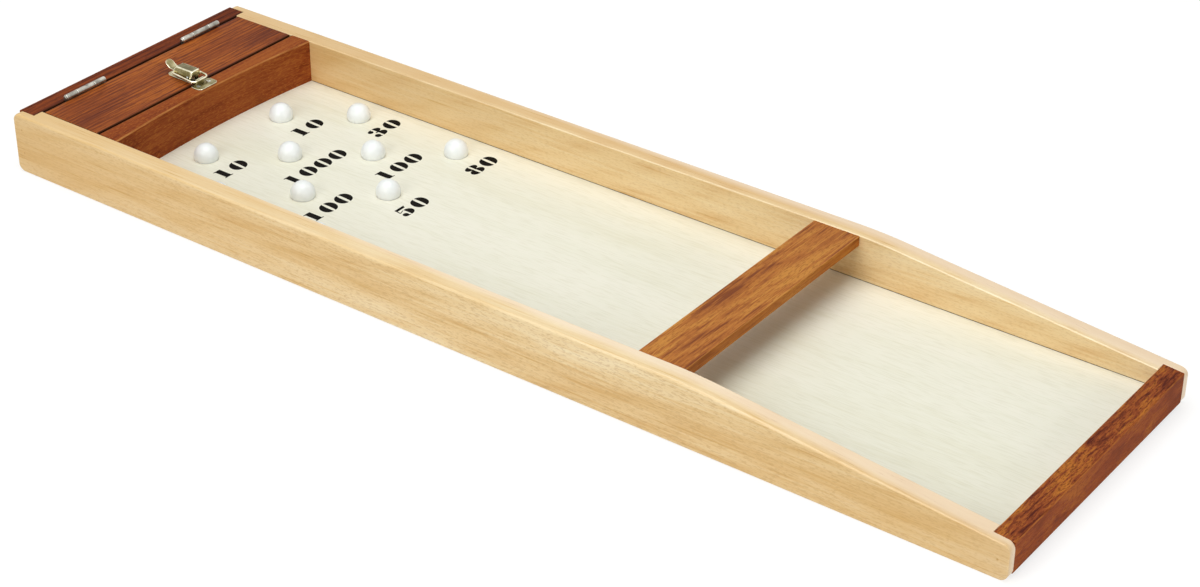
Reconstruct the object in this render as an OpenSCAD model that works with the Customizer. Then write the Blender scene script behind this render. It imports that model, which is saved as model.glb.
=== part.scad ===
// Table billiards board with two beech side rails, a plywood playing bed with
// ten scoring holes, a starting bridge and a lidded ball box at the far end.
// X runs across the board, +Y from the player's end to the ball box, +Z up.
// The origin is the middle of the board on the table top.

/* [Board] */
// Overall length of the board
board_l = 1000; // [900:1:1200]
// Overall width over the two side rails
board_w = 284; // [270:1:340]
// Height of the side rails over their level stretch
rail_h = 57; // [54:0.5:70]
// Thickness of the side rails
rail_t = 18; // [16:0.5:22]
// Height of the side rails at the player's end
player_h = 30.5; // [28:0.5:38]
// Length of the tapered stretch, from the player's end
taper_l = 275; // [220:1:280]
// Radius that blends the taper into the level stretch
bend_r = 500; // [200:10:600]
// Radius of the rails' corners seen from the side
end_r = 6.5; // [4:0.5:8]
// Radius of the rails' long arrises
rail_ease = 1.6; // [0.8:0.1:2.2]

/* [End rails] */
// Thickness of the back rail that carries the hinges
back_t = 19; // [17:0.5:22]
// Thickness of the rail at the player's end
near_t = 18; // [16:0.5:22]
// Thickness of the side rails' tongues that cover the end rails
tongue_t = 8; // [6:0.5:10]
// Height of the end rails' undersides above the table
end_lift = 3; // [1:0.5:4]
// Radius of the eased edges on the dark pieces
edge_ease = 1; // [0.5:0.1:1.5]
// Diameter of the panel pins through the tongues
pin_d = 1.8; // [1.4:0.1:2.4]
// Length of the panel pins
pin_l = 28; // [22:1:34]

/* [Playing bed] */
// Thickness of the plywood bed
bed_t = 8; // [6:0.5:9]
// Height of the bed's underside above the table
bed_z = 8; // [7:0.5:10]
// Depth of the grooves that hold the bed
groove_d = 5; // [3:0.5:7]
// Gap over the bed in the side rails' grooves
bed_seam = 0.5; // [0.2:0.1:0.8]
// Diameter of the scoring holes
hole_d = 21.2; // [20:0.1:21.4]
// Distance between two rows of holes
row_pitch = 57.5; // [50:0.5:60]
// Distance from a side rail to the outermost holes
hole_edge = 31; // [28:0.5:40]
// Distance between the two holes of the first row
first_pair = 98; // [84:0.5:100]
// Sideways offset of the first row, as drilled
first_shift = 2; // [0:0.5:4]
// Distance from the box front to the first row of holes
first_row = 28.5; // [24:0.5:40]
// Diameter of the balls
ball_d = 22; // [21.8:0.1:23]

/* [Bridge] */
// Width of the bridge along the board
bridge_w = 44; // [36:1:50]
// Thickness of the bridge
bridge_t = 9.5; // [8:0.5:12]
// Distance from the player's end to the middle of the bridge
bridge_y = 309; // [300:1:340]
// Depth of the bridge's top below the rails' top
bridge_drop = 0.6; // [0:0.1:2]
// Diameter of the bridge dowels
bridge_dowel_d = 5; // [4:0.5:6]
// Length of the bridge dowels
bridge_dowel_l = 22; // [18:1:26]

/* [Ball box] */
// Thickness of the box front at its two ends
front_t = 22.5; // [20:0.5:28]
// Depth of the hollow in the middle of the box front
front_hollow = 7; // [4:0.5:8]
// Depth of the ledge that the lid rests on
ledge_d = 6; // [4:0.5:10]
// Depth of the lid from front to back
lid_d = 66.4; // [62:0.2:80]
// Thickness of the lid
lid_t = 10; // [9.5:0.5:10.5]
// Gap between the lid and each side rail
lid_side_gap = 0.6; // [0.4:0.1:1.5]
// Gap between the lid and the box front
front_gap = 1.9; // [1.4:0.1:2.5]
// Diameter of the box front's dowels
front_dowel_d = 8; // [6:0.5:8]
// Length of the box front's dowels
front_dowel_l = 30; // [26:1:34]

/* [Hinges] */
// Length of each butt hinge
hinge_l = 48; // [40:1:60]
// Length of the middle knuckle
knuckle_l = 21; // [16:1:24]
// Distance from a side rail to the middle of each hinge
hinge_edge = 50.5; // [44:0.5:74]
// Diameter of the hinge barrel
barrel_d = 5.2; // [4.8:0.1:5.4]
// Diameter of the hinge pins
hinge_pin_d = 2.6; // [2:0.1:3]
// Diameter of the hinge pins' heads
hinge_head_d = 4.2; // [3.6:0.1:4.6]
// Thickness of the hinge leaves
leaf_t = 1.1; // [0.9:0.1:1.2]
// Reach of the leaves below the top of the board
leaf_reach = 8.8; // [8:0.1:9]
// Gap between the lid and the back rail
hinge_gap = 2.2; // [1.4:0.1:2.2]

/* [Latch] */
// Width of the latch's base plate
base_w = 12; // [11:0.5:14]
// Length of the latch's base plate
base_l = 32; // [30:0.5:34]
// Thickness of the latch's sheet metal
sheet_t = 1; // [0.8:0.1:1.2]
// Height of the lever's crown above the lid
crown_h = 11.8; // [11:0.1:12.5]
// Length of the lever's crown
crown_l = 20.5; // [18:0.5:22]
// Width of the lever's crown
crown_w = 9.8; // [9:0.1:10.5]
// Width of the lever at its lower edge
skirt_w = 14.4; // [14.2:0.1:14.6]
// Width of the thumb tab
tab_w = 8.8; // [8:0.1:10]
// Length of the thumb tab's rising end
tab_l = 8.5; // [8:0.5:13]
// Angle at which the thumb tab rises
tab_rise = 38; // [30:1:42]
// Diameter of the loop's wire
wire_d = 1.8; // [1.5:0.1:2]
// Width of the loop over the middles of its wires
loop_w = 18.8; // [18.4:0.1:20]
// Length of the loop from its pivot to its front bar
loop_l = 27.2; // [27:0.1:27.4]
// Width of the strike plate
strike_w = 24; // [22:0.5:26]
// Depth of the strike plate
strike_d = 12.5; // [12:0.1:13]
// Width of the strike's upturned lip
lip_w = 10; // [8:0.5:12]

/* [Hidden] */

$fn = 64;
// Steps in a faceted arc and in an eased arris
arc_steps = 8;
ease_steps = 3;
// Overrun of a cut past the face it opens
over = 1;
// Play of a glued joint on each side, and play behind a piece in its groove
glue = 0.1;
groove_play = 0.3;
// Radial play of a pin that turns, and of a fastener in its own hole
turn_play = 0.05;
hole_play = 0.05;
// Air between pieces that move past each other
air = 0.3;

// Main planes of the board
side_x = board_w / 2;
inner_x = side_x - rail_t;
tongue_x = side_x - tongue_t;
far_y = board_l / 2;
back_face = far_y - back_t;
near_face = near_t - far_y;
hinge_x = inner_x - hinge_edge;
bed_top = bed_z + bed_t;
taper_slope = (rail_h - player_h) / taper_l;

// Ball box, from the back rail forwards
hinge_y = back_face - hinge_gap / 2;
lid_back = back_face - hinge_gap;
lid_front = lid_back - lid_d;
front_back = lid_front - front_gap;
front_face = front_back - front_t;
lid_x = inner_x - lid_side_gap;
lid_bottom = rail_h - lid_t;
// Radius of the hollowed front, from its chord and its depth
hollow_r = (inner_x * inner_x + front_hollow * front_hollow)
    / (2 * front_hollow);
hollow_y = front_face + front_hollow - hollow_r;
hollow_steps = 720;

// Bridge
bridge_mid = bridge_y - far_y;
bridge_top = rail_h - bridge_drop;
bridge_dowel_step = bridge_w / 4;

// Box front's dowels; each dowel has this share of its length in a side rail
front_dowel_y = front_back - front_t / 2;
front_dowel_z = [bed_top + front_dowel_d * 1.3, rail_h - front_dowel_d * 1.5];
dowel_bite = 0.4;

// Panel pins, a little below the rails' outer faces
pin_sink = 0.2;
pin_tip = 2;
near_pin_y = near_t / 2 - far_y;
near_pin_z = [(end_lift + player_h) / 2];
back_pin_y = far_y - back_t / 2;
back_pin_z = [rail_h * 0.35, rail_h * 0.75];

// Scoring holes: two, three, two and three in four rows
rows = [[-0.5, 0.5], [-1, 0, 1], [-0.5, 0.5], [-1, 0, 1]];
col_pitch = inner_x - hole_edge;
holes = [for (r = [0:len(rows) - 1], c = rows[r])
    [r == 0 ? first_shift + c * first_pair : c * col_pitch,
        front_face - first_row - r * row_pitch]];
// Height of a ball's middle when it stands on the rim of its hole
ball_air = 0.2;
ball_z = bed_top
    + sqrt(pow(ball_d / 2 + ball_air, 2) - pow(hole_d / 2, 2));

// Hinges: the barrel clears the edges of the gap that it stands over
barrel_r = barrel_d / 2;
hinge_z = rail_h + sqrt(pow(barrel_r + air, 2) - pow(hinge_gap / 2, 2));
leaf_air = 0.15;
leaf_depth = leaf_air + leaf_t;
mortise_d = leaf_depth - hinge_gap / 2;
mortise_play = 0.15;
hinge_screw_step = hinge_l * 0.3;
hinge_screw_z = rail_h - leaf_reach / 2;
hinge_screw_l = 12;
hinge_head_t = 1.5;
hinge_head_ease = 0.5;

// Screws: head, shank and point
screw_head_d = 4.2;
screw_head_h = 1.3;
screw_shank_d = 2.2;
screw_point = 2.5;
screw_sink = 0.1;

// Latch: heights above the lid's top and places along Y
top_z = rail_h;
pivot_z = top_z + 5.6;
pivot_y = lid_front + 4.6;
pivot_d = 2;
loop_pivot_y = pivot_y + 17;
loop_pivot_z = top_z + 6.8;
base_front = lid_front + 0.8;
base_front_r = 1.5;
base_back_r = base_w / 2 - 1;
base_screw_y = [base_front + 10, base_front + 24];
base_screw_l = 8;
ear_x = 3.8;
ear_r = 1.9;
lever_air = 0.2;
rivet_head_d = 3;
rivet_head_t = 0.5;

// Lever: lower edge, crown, opening for the ears in its front, thumb tab
skirt_z = top_z + 4.6;
skirt_front = pivot_y - 3.6;
skirt_back = skirt_front + 24;
skirt_r = 1.5;
crown_front = pivot_y - 4.2;
crown_z = top_z + crown_h;
crown_ease = 0.8;
ear_slot_z = pivot_z + ear_r + air;
neck_y = skirt_back - 1.6;
neck_l = 6;
neck_z = top_z + 6.2;

// Loop: its front bar stands in front of the strike's lip
bar_z = top_z + 4.3;
loop_tilt = asin((loop_pivot_z - bar_z) / loop_l);
bar_y = loop_pivot_y - loop_l * cos(loop_tilt);
loop_front_r = 4;
loop_back_r = 2.4;
loop_end_x = 4.9;
lip_air = 0.5;
lip_face = bar_y + wire_d / 2 + lip_air;
lip_top = top_z + 5.2;
strike_back = lip_face + sheet_t;
strike_corner = 4;
strike_back_r = 3;
strike_screw_x = 6.6;
strike_screw_y = strike_back - strike_d * 0.4;
strike_screw_l = 9;

// An angle turned the short way round
function short_turn(a) = a > 180 ? a - 360 : a < -180 ? a + 360 : a;

// Arc of radius p[2] that rounds the corner p between a and b
function corner(a, p, b) = p[2] <= 0 ? [[p.x, p.y]] :
    let (c = [p.x, p.y],
        u = ([a.x, a.y] - c) / norm([a.x, a.y] - c),
        v = ([b.x, b.y] - c) / norm([b.x, b.y] - c),
        half = acos(u * v) / 2,
        m = c + (u + v) / norm(u + v) * p[2] / sin(half),
        s = c + u * p[2] / tan(half) - m,
        e = c + v * p[2] / tan(half) - m,
        start = atan2(s.y, s.x),
        turn = short_turn(atan2(e.y, e.x) - start))
    [for (i = [0:arc_steps])
        m + p[2] * [cos(start + turn * i / arc_steps),
            sin(start + turn * i / arc_steps)]];

// Closed outline from corners given as [x, y, radius]
function outline(p) = let (n = len(p)) [for (i = [0:n - 1])
    each corner(p[(i + n - 1) % n], p[i], p[(i + 1) % n])];

// Turns a drawing of the YZ plane so that its extrusion runs along +X
module along_x(x0, x1) {
    translate([x0, 0, 0]) rotate([90, 0, 90]) linear_extrude(x1 - x0)
        children();
}

// Rod along X between two places
module rod_x(x0, x1, y, z, d) {
    translate([x0, y, z]) rotate([0, 90, 0]) cylinder(h = x1 - x0, d = d);
}

// Slab along X whose two end faces have eased arrises
module eased_slab_x(x0, x1, ease) {
    translate([x0, 0, 0]) rotate([90, 0, 90]) hull()
        for (i = [0:ease_steps]) {
            a = 90 * i / ease_steps;
            z = ease * (1 - sin(a));
            translate([0, 0, z]) linear_extrude(x1 - x0 - 2 * z)
                offset(delta = -ease * (1 - cos(a))) children();
        }
}

// Countersunk screw along -Z with its head's face at the origin
module screw(length, play = 0) {
    rotate_extrude() polygon([[0, play > 0 ? over : 0],
        [screw_head_d / 2 + play, play > 0 ? over : 0],
        [screw_head_d / 2 + play, 0],
        [screw_shank_d / 2 + play, -screw_head_h],
        [screw_shank_d / 2 + play, screw_point - length],
        [0.2 + play, -length - play], [0, -length - play]]);
}

// Places a hinge's screws on one leaf; dir is 1 for the back rail, -1 for lid
module at_hinge_screws(dir) {
    for (side = [-1, 1], k = [-1, 1])
        translate([side * hinge_x + k * hinge_screw_step,
            hinge_y + dir * (leaf_air + screw_sink), hinge_screw_z])
            rotate([dir * 90, 0, 0]) children();
}

module at_base_screws() {
    for (y = base_screw_y)
        translate([0, y, top_z + sheet_t - screw_sink]) children();
}

module at_strike_screws() {
    for (k = [-1, 1])
        translate([k * strike_screw_x, strike_screw_y,
            top_z + sheet_t - screw_sink]) children();
}

// Dowel, or its hole, on both sides of the board
module dowel_pair(length, y, z, d, play) {
    x = inner_x + length * dowel_bite + play;
    for (side = [0, 1]) mirror([side, 0, 0])
        rod_x(x - length - 2 * play, x, y, z, d + 2 * play);
}

module bridge_dowel_set(play = 0) {
    for (k = [-1, 1])
        dowel_pair(bridge_dowel_l, bridge_mid + k * bridge_dowel_step,
            bridge_top - bridge_t / 2, bridge_dowel_d, play);
}

module front_dowel_set(play = 0) {
    for (z = front_dowel_z)
        dowel_pair(front_dowel_l, front_dowel_y, z, front_dowel_d, play);
}

// Panel pins driven inwards through the tongues
module pin(side, y, z, play) {
    translate([side * (side_x - pin_sink), y, z]) rotate([0, -side * 90, 0])
        rotate_extrude() polygon([[0, play > 0 ? -over : 0],
            [pin_d / 2 + play, play > 0 ? -over : 0],
            [pin_d / 2 + play, pin_l - pin_tip],
            [0.2 + play, pin_l + play], [0, pin_l + play]]);
}

module pin_set(play = 0) {
    for (side = [-1, 1]) {
        for (z = near_pin_z) pin(side, near_pin_y, z, play);
        for (z = back_pin_z) pin(side, back_pin_y, z, play);
    }
}

// Side rail on the player's left, with its groove, rebates and dowel holes
module side_rail() {
    difference() {
        eased_slab_x(-side_x, -inner_x, rail_ease) polygon(outline([
            [-far_y, 0, end_r], [far_y, 0, end_r], [far_y, rail_h, end_r],
            [taper_l - far_y, rail_h, bend_r], [-far_y, player_h, end_r]]));
        translate([-inner_x - groove_d, -far_y, bed_z - glue])
            cube([groove_d + over, board_l, bed_t + glue + bed_seam]);
        translate([-tongue_x, back_face - glue, -over])
            cube([rail_t, back_t + over, rail_h + 2 * over]);
        translate([-tongue_x, -far_y - over, -over])
            cube([rail_t, near_t + glue + over, rail_h + 2 * over]);
        bridge_dowel_set(hole_play);
        front_dowel_set(hole_play);
        pin_set(hole_play);
    }
}

module left_rail() {
    color("BurlyWood") side_rail();
}

module right_rail() {
    color("BurlyWood") mirror([1, 0, 0]) side_rail();
}

module playing_bed() {
    bed_x = inner_x + groove_d - groove_play;
    bed_near = near_face - groove_d + groove_play;
    bed_far = back_face + groove_d - groove_play;
    color("Ivory") difference() {
        translate([-bed_x, bed_near, bed_z])
            cube([2 * bed_x, bed_far - bed_near, bed_t]);
        for (p = holes)
            translate([p.x, p.y, bed_z - over])
                cylinder(h = bed_t + 2 * over, d = hole_d);
    }
}

// Rail at the player's end; its top follows the taper of the side rails
module near_rail() {
    rail_x = tongue_x - glue;
    color("SaddleBrown") difference() {
        along_x(-rail_x, rail_x) polygon(outline([
            [-far_y, end_lift, edge_ease], [near_face, end_lift, edge_ease],
            [near_face, player_h + near_t * taper_slope, edge_ease],
            [-far_y, player_h, edge_ease]]));
        translate([-rail_x - over, near_face - groove_d, bed_z - glue])
            cube([2 * (rail_x + over), groove_d + over, bed_t + 2 * glue]);
        pin_set(hole_play);
    }
}

module back_rail() {
    rail_x = tongue_x - glue;
    color("SaddleBrown") difference() {
        along_x(-rail_x, rail_x) polygon(outline([
            [back_face, end_lift, edge_ease], [far_y, end_lift, edge_ease],
            [far_y, rail_h, edge_ease], [back_face, rail_h, edge_ease / 2]]));
        translate([-rail_x - over, back_face - over, bed_z - glue])
            cube([2 * (rail_x + over), groove_d + over, bed_t + 2 * glue]);
        leaf_mortises(1);
        at_hinge_screws(1) screw(hinge_screw_l, hole_play);
        pin_set(hole_play);
    }
}

// Shallow beds for the hinge leaves in the back rail (1) or the lid (-1)
module leaf_mortises(dir) {
    depth = mortise_d + mortise_play;
    for (side = [-1, 1])
        translate([side * hinge_x - hinge_l / 2 - mortise_play,
            dir > 0 ? back_face - over : lid_back - depth,
            rail_h - leaf_reach - mortise_play])
            cube([hinge_l + 2 * mortise_play, depth + over,
                leaf_reach + mortise_play + over]);
}

module bridge() {
    y0 = bridge_mid - bridge_w / 2;
    y1 = bridge_mid + bridge_w / 2;
    z0 = bridge_top - bridge_t;
    color("SaddleBrown") difference() {
        along_x(-inner_x, inner_x) polygon(outline([
            [y0, z0, edge_ease], [y1, z0, edge_ease],
            [y1, bridge_top, edge_ease], [y0, bridge_top, edge_ease]]));
        bridge_dowel_set(hole_play);
    }
}

module bridge_dowels() {
    color("Tan") bridge_dowel_set();
}

// Box front, hollowed towards the playing bed, with the lid's ledge behind it
module box_front() {
    color("SaddleBrown") difference() {
        union() {
            along_x(-inner_x, inner_x) polygon(outline([
                [front_face - over, bed_top, 0], [front_back, bed_top, 0],
                [front_back, rail_h, edge_ease / 2],
                [front_face - over, rail_h, 0]]));
            translate([-inner_x, front_back - over, bed_top])
                cube([2 * inner_x, ledge_d + over,
                    lid_bottom - air - bed_top]);
        }
        translate([0, hollow_y, bed_top - over])
            cylinder(h = rail_h, r = hollow_r, $fn = hollow_steps);
        translate([0, hollow_y, 0]) rotate_extrude($fn = hollow_steps) polygon([
            [hollow_r - over, rail_h - 2 * edge_ease],
            [hollow_r, rail_h - 2 * edge_ease],
            [hollow_r + 2 * edge_ease, rail_h],
            [hollow_r + 2 * edge_ease, rail_h + over],
            [hollow_r - over, rail_h + over]]);
        front_dowel_set(hole_play);
        at_strike_screws() screw(strike_screw_l, hole_play);
    }
}

module box_front_dowels() {
    color("Tan") front_dowel_set();
}

module end_rail_pins() {
    color("Silver") pin_set();
}

module lid() {
    color("SaddleBrown") difference() {
        along_x(-lid_x, lid_x) polygon(outline([
            [lid_front, lid_bottom, edge_ease / 2],
            [lid_back, lid_bottom, edge_ease / 2],
            [lid_back, rail_h, edge_ease / 2],
            [lid_front, rail_h, edge_ease / 2]]));
        leaf_mortises(-1);
        at_hinge_screws(-1) screw(hinge_screw_l, hole_play);
        at_base_screws() screw(base_screw_l, hole_play);
    }
}

// One leaf with its knuckles; dir is 1 for the back rail and -1 for the lid
module hinge_leaf(x, dir) {
    spans = dir > 0
        ? [[-hinge_l / 2, -knuckle_l / 2 - air / 2],
            [knuckle_l / 2 + air / 2, hinge_l / 2]]
        : [[-knuckle_l / 2 + air / 2, knuckle_l / 2 - air / 2]];
    gaps = dir > 0
        ? [[-knuckle_l / 2 - air / 2, knuckle_l / 2 + air / 2]]
        : [[-hinge_l / 2 - over, -knuckle_l / 2 + air / 2],
            [knuckle_l / 2 - air / 2, hinge_l / 2 + over]];
    color("Gray") difference() {
        union() {
            for (s = spans)
                rod_x(x + s[0], x + s[1], hinge_y, hinge_z, barrel_d);
            translate([x - hinge_l / 2,
                dir > 0 ? hinge_y + leaf_air : hinge_y - leaf_depth,
                rail_h - leaf_reach])
                cube([hinge_l, leaf_t, hinge_z - rail_h + leaf_reach]);
        }
        for (g = gaps)
            rod_x(x + g[0], x + g[1], hinge_y, hinge_z, barrel_d + 2 * air);
        rod_x(x - hinge_l / 2 - over, x + hinge_l / 2 + over, hinge_y,
            hinge_z, hinge_pin_d + 2 * turn_play);
        at_hinge_screws(dir) screw(hinge_screw_l, hole_play);
    }
}

// Pin with an eased head outside the knuckle on the player's left
module hinge_pin(x) {
    shank = hinge_l + turn_play;
    color("Silver")
        translate([x + hinge_l / 2 - shank - hinge_head_t, hinge_y, hinge_z])
            rotate([0, 90, 0]) rotate_extrude() polygon([[0, 0],
                [hinge_head_d / 2 - hinge_head_ease, 0],
                [hinge_head_d / 2, hinge_head_ease],
                [hinge_head_d / 2, hinge_head_t],
                [hinge_pin_d / 2, hinge_head_t],
                [hinge_pin_d / 2, hinge_head_t + shank],
                [0, hinge_head_t + shank]]);
}

module hinge_rail_screws() {
    color("Silver") at_hinge_screws(1) screw(hinge_screw_l);
}

module hinge_lid_screws() {
    color("Silver") at_hinge_screws(-1) screw(hinge_screw_l);
}

// Plate in the XY plane with its own corner radius at the front and the back
module plate(x, y0, y1, r0, r1) {
    polygon(outline([[-x, y0, r0], [x, y0, r0], [x, y1, r1], [-x, y1, r1]]));
}

// Base plate of the latch with two ears for the lever's rivet
module latch_base() {
    color("DarkKhaki") difference() {
        union() {
            translate([0, 0, top_z]) linear_extrude(sheet_t)
                plate(base_w / 2, base_front, base_front + base_l,
                    base_front_r, base_back_r);
            for (side = [0, 1]) mirror([side, 0, 0])
                along_x(ear_x, ear_x + sheet_t) union() {
                    translate([pivot_y, pivot_z]) circle(r = ear_r);
                    translate([pivot_y - ear_r, top_z])
                        square([2 * ear_r, pivot_z - top_z]);
                }
        }
        rod_x(-base_w, base_w, pivot_y, pivot_z, pivot_d + 2 * turn_play);
        at_base_screws() screw(base_screw_l, hole_play);
    }
}

// Rivet that the lever turns on, with a shallow head outside each side
module latch_rivet() {
    x = skirt_w / 2 + lever_air;
    color("DarkKhaki") translate([-x - rivet_head_t, pivot_y, pivot_z])
        rotate([0, 90, 0]) rotate_extrude() polygon([[0, 0],
            [rivet_head_d * 0.3, 0], [rivet_head_d / 2, rivet_head_t],
            [pivot_d / 2, rivet_head_t],
            [pivot_d / 2, rivet_head_t + 2 * x],
            [rivet_head_d / 2, rivet_head_t + 2 * x],
            [rivet_head_d * 0.3, 2 * rivet_head_t + 2 * x],
            [0, 2 * rivet_head_t + 2 * x]]);
}

// Tapered body of the lever, drawn in by a wall thickness
module lever_form(wall) {
    slice = 0.01;
    c = crown_front + wall;
    e = crown_front + crown_l - wall;
    hull() {
        translate([0, 0, skirt_z - (wall > 0 ? over : 0)])
            linear_extrude(slice) plate(skirt_w / 2 - wall,
                skirt_front + wall, skirt_back - wall, skirt_r, skirt_r);
        translate([0, 0, crown_z - crown_ease - wall])
            linear_extrude(slice)
                plate(crown_w / 2 - wall, c, e, skirt_r, skirt_r);
        translate([0, 0, crown_z - slice - wall]) linear_extrude(slice)
            plate(crown_w / 2 - wall - crown_ease, c + crown_ease,
                e - crown_ease, skirt_r, skirt_r);
    }
}

// Lever: a pressed shell, slotted in front for the ears, and a thumb tab
module latch_lever() {
    color("DarkKhaki") difference() {
        union() {
            difference() {
                lever_form(0);
                lever_form(sheet_t);
                for (side = [0, 1]) mirror([side, 0, 0])
                    translate([ear_x - air, crown_front - over,
                        skirt_z - over])
                        cube([sheet_t + 2 * air, 3 * over + sheet_t,
                            ear_slot_z - skirt_z + over]);
            }
            thumb_tab();
        }
        rod_x(-base_w, base_w, pivot_y, pivot_z, pivot_d + 2 * turn_play);
        rod_x(-base_w, base_w, loop_pivot_y, loop_pivot_z,
            wire_d + 2 * turn_play);
    }
}

// Level neck and rising end of the thumb tab
module thumb_tab() {
    translate([-tab_w / 2, neck_y, neck_z]) cube([tab_w, neck_l, sheet_t]);
    translate([0, neck_y + neck_l, neck_z + sheet_t / 2]) {
        rod_x(-tab_w / 2, tab_w / 2, 0, 0, sheet_t);
        rotate([tab_rise, 0, 0]) translate([0, 0, -sheet_t / 2])
            linear_extrude(sheet_t)
                plate(tab_w / 2, 0, tab_l, 0, tab_w / 2 - 0.4);
    }
}

// Quarter bend of the loop's wire, from +X round to +Y
module bend(r) {
    rotate_extrude(angle = 90) translate([r, 0]) circle(d = wire_d);
}

// Wire loop: one half is drawn in its own plane, tilted about the pivot
module loop_half() {
    x = loop_w / 2;
    translate([loop_end_x, 0, 0]) rotate([0, 90, 0])
        cylinder(h = x - loop_back_r - loop_end_x, d = wire_d);
    translate([x - loop_back_r, -loop_back_r, 0]) bend(loop_back_r);
    translate([x, loop_front_r - loop_l, 0]) rotate([-90, 0, 0])
        cylinder(h = loop_l - loop_front_r - loop_back_r, d = wire_d);
    translate([x - loop_front_r, loop_front_r - loop_l, 0])
        rotate([0, 0, -90]) bend(loop_front_r);
    translate([0, -loop_l, 0]) rotate([0, 90, 0])
        cylinder(h = x - loop_front_r, d = wire_d);
}

module latch_loop() {
    color("DarkKhaki") translate([0, loop_pivot_y, loop_pivot_z])
        rotate([loop_tilt, 0, 0]) {
            loop_half();
            mirror([1, 0, 0]) loop_half();
        }
}

// Strike plate with an upturned lip that the loop's bar stands in front of
module latch_strike() {
    color("DarkKhaki") difference() {
        union() {
            translate([0, 0, top_z]) linear_extrude(sheet_t)
                plate(strike_w / 2, strike_back - strike_d, strike_back,
                    strike_corner, strike_back_r);
            translate([-lip_w / 2, lip_face, top_z])
                cube([lip_w, sheet_t, lip_top - top_z]);
        }
        at_strike_screws() screw(strike_screw_l, hole_play);
    }
}

module latch_base_screws() {
    color("Silver") at_base_screws() screw(base_screw_l);
}

module strike_screws() {
    color("Silver") at_strike_screws() screw(strike_screw_l);
}

module ball(i) {
    color("White") translate([holes[i].x, holes[i].y, ball_z])
        sphere(d = ball_d);
}

left_rail();
right_rail();
playing_bed();
near_rail();
back_rail();
bridge();
box_front();
lid();
bridge_dowels();
box_front_dowels();
end_rail_pins();
hinge_leaf(-hinge_x, 1);  // left_hinge_rail_leaf
hinge_leaf(-hinge_x, -1);  // left_hinge_lid_leaf
hinge_pin(-hinge_x);  // left_hinge_pin
hinge_leaf(hinge_x, 1);  // right_hinge_rail_leaf
hinge_leaf(hinge_x, -1);  // right_hinge_lid_leaf
hinge_pin(hinge_x);  // right_hinge_pin
hinge_rail_screws();
hinge_lid_screws();
latch_base();
latch_rivet();
latch_lever();
latch_loop();
latch_strike();
latch_base_screws();
strike_screws();
ball(0);  // ball_1
ball(1);  // ball_2
ball(2);  // ball_3
ball(3);  // ball_4
ball(4);  // ball_5
ball(5);  // ball_6
ball(6);  // ball_7
ball(7);  // ball_8
ball(8);  // ball_9
ball(9);  // ball_10
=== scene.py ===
"""Dresses the table billiards board: beech side rails, oiled hardwood at both
ends, a pale bed with score numbers, white balls, hinges and a toggle latch.
Lengths are written in millimetres and turned to metres as meshes are made."""

import math

import bpy
import numpy as np
from mathutils import Matrix, Vector


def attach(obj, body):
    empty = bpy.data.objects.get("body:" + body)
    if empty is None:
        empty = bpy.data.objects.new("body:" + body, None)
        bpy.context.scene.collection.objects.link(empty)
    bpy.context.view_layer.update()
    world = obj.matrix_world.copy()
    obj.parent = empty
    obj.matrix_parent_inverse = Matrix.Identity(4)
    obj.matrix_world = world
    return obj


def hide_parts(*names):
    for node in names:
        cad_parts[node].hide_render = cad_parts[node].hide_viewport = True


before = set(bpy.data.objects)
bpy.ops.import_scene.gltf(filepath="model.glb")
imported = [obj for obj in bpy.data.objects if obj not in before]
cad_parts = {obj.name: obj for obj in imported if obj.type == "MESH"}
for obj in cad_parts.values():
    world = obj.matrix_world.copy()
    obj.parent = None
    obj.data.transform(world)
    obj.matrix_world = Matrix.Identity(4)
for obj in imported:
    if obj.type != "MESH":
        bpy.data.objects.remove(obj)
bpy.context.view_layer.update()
MM = 0.001

# Board, seen from above: X across, +Y from the player's end to the ball box.
# Side rails: outer face, inner face and tongue, and the ends of the board
SIDE_X, INNER_X, TONGUE_X, FAR_Y = 142.0, 124.0, 134.0, 500.0
# Their height along the level and at the player's end, where the taper starts,
# and the radius of the bend there
RAIL_H, PLAYER_H, TAPER_Y, BEND_R = 57.0, 30.5, -225.0, 500.0
# Inner faces of the rails across both ends, and their undersides
BACK_FACE, NEAR_FACE, RAIL_LOW = 481.0, -482.0, 3.0
# Top of the bed and the open seam over it
BED_TOP, SEAM = 16.0, 0.35
# Lid: front and back edge, half its length, thickness
LID_FRONT, LID_BACK, LID_X, LID_T = 412.4, 478.8, 123.4, 10.0
# Box front: back, front at the ends, and how far the middle is hollowed
FRONT_BACK, FRONT_FACE, HOLLOW = 410.5, 388.0, 7.0
# Bridge: middle, width, thickness and top
BRIDGE_Y, BRIDGE_W, BRIDGE_T, BRIDGE_TOP = -191.0, 44.0, 9.5, 56.4
# Balls, and the rows of holes that they rest in
BALL_R, BALL_Z = 11.0, 19.617
ROWS = ((359.5, (-47, 51)), (302.0, (-93, 0, 93)), (244.5, (-46.5, 46.5)), (187.0, (-93, 0, 93)))
HOLES = [(x, y) for y, places in ROWS for x in places]
# Each number with the middle of its print
SCORES = (
    ("10", -48.8, 328.3),
    ("10", 50.4, 327),
    ("30", -93, 271),
    ("1000", -0.5, 271.2),
    ("30", 92.3, 270.4),
    ("100", -48, 213.8),
    ("100", 44.2, 212.6),
    ("80", -93, 156.5),
    ("50", -3.7, 156.8),
    ("80", 89.9, 155.5),
)
# Hinges: axis, distance from the middle, length over the knuckles, length of
# the middle knuckle, radius of the barrel and of the pin
HINGE_Y, HINGE_Z, HINGE_X, HINGE_L = 479.9, 59.683, 73.5, 48.0
KNUCKLE_L, BARREL_R, HINGE_PIN_R = 21.0, 2.6, 1.3
# Latch, in Y and Z: the lever's rivet, the loop's ends in the lever, the
# loop's front bar, and the front of the lip that it pulls on
PIVOT = (417.0, 62.6)
LOOP_PIVOT = (434.0, 63.8)
BAR = (406.915, 61.3)
LIP_Y = BAR[0] + 1.4


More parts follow.
